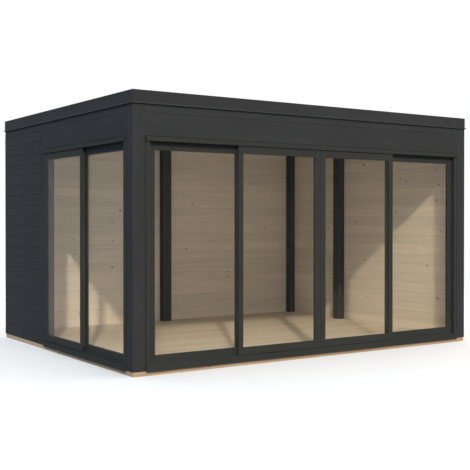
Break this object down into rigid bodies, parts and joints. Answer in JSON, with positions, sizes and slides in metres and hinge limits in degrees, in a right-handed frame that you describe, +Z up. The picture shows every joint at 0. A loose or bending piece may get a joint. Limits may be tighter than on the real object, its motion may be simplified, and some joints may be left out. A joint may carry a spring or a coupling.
{
  "type": "garden shed with sliding glass doors",
  "caption": "Flat-roofed timber garden shed on a low base, with glazed sliding doors on the front and left side, corner posts, board walls and a boarded floor.",
  "frame": {"origin": "on the ground, under the middle of the house", "axes": "+Z up, the front with the wide door faces -Y, the side door faces -X"},
  "size_m": [4.028, 3.082, 2.394],
  "materials": {
    "base_timber": "sawn, bare timber",
    "floor_boards": "planed, bare spruce",
    "painted_timber": "anthracite grey paint, satin",
    "wall_boards": "spruce boards, bare inside and anthracite grey outside",
    "roof_timber": "planed, bare spruce",
    "membrane": "matt roofing membrane",
    "coated_metal": "anthracite grey powder coat, fine texture",
    "pane_glass": "clear, smooth",
    "roller_nylon": "black nylon"
  },
  "bodies": {
    "house": {"base_long_bearers": "base_timber", "base_cross_bearers": "base_timber", "floor_deck": "floor_boards", "front_left_post": "painted_timber", "front_right_post": "painted_timber", "rear_left_post": "painted_timber", "rear_right_post": "painted_timber", "middle_posts": "painted_timber", "rear_wall_left": "wall_boards", "rear_wall_right": "wall_boards", "right_wall_front": "wall_boards", "right_wall_rear": "wall_boards", "left_wall_rear": "wall_boards", "front_lintel": "painted_timber", "left_lintel": "painted_timber", "front_ring_beam": "painted_timber", "rear_ring_beams": "painted_timber", "side_ring_beams": "painted_timber", "roof_joists": "roof_timber", "roof_deck": "roof_timber", "roof_long_kerbs": "roof_timber", "roof_side_kerbs": "roof_timber", "roof_membrane": "membrane", "roof_trim_front": "coated_metal", "roof_trim_rear": "coated_metal", "roof_trim_left": "coated_metal", "roof_trim_right": "coated_metal", "front_door_head": "coated_metal", "front_door_sill": "coated_metal", "front_door_jambs": "coated_metal", "side_door_head": "coated_metal", "side_door_sill": "coated_metal", "side_door_jambs": "coated_metal", "fixed_leaf_stiles": "coated_metal", "fixed_leaf_rails": "coated_metal", "fixed_leaf_glass": "pane_glass"},
    "front_left_slider": {"front_left_slider_stiles": "coated_metal", "front_left_slider_rails": "coated_metal", "front_left_slider_glass": "pane_glass", "front_left_slider_rollers": "roller_nylon"},
    "front_right_slider": {"front_right_slider_stiles": "coated_metal", "front_right_slider_rails": "coated_metal", "front_right_slider_glass": "pane_glass", "front_right_slider_rollers": "roller_nylon"},
    "side_slider": {"side_slider_stiles": "coated_metal", "side_slider_rails": "coated_metal", "side_slider_glass": "pane_glass", "side_slider_rollers": "roller_nylon"}
  },
  "joints": [
    {"name": "front_left_slide", "type": "slide", "parent": "house", "child": "front_left_slider", "axis": [-1, 0, 0], "range_m": [0, 0.885]},
    {"name": "front_right_slide", "type": "slide", "parent": "house", "child": "front_right_slider", "axis": [1, 0, 0], "range_m": [0, 0.885]},
    {"name": "side_slide", "type": "slide", "parent": "house", "child": "side_slider", "axis": [0, -1, 0], "range_m": [0, 0.83]}
  ]
}
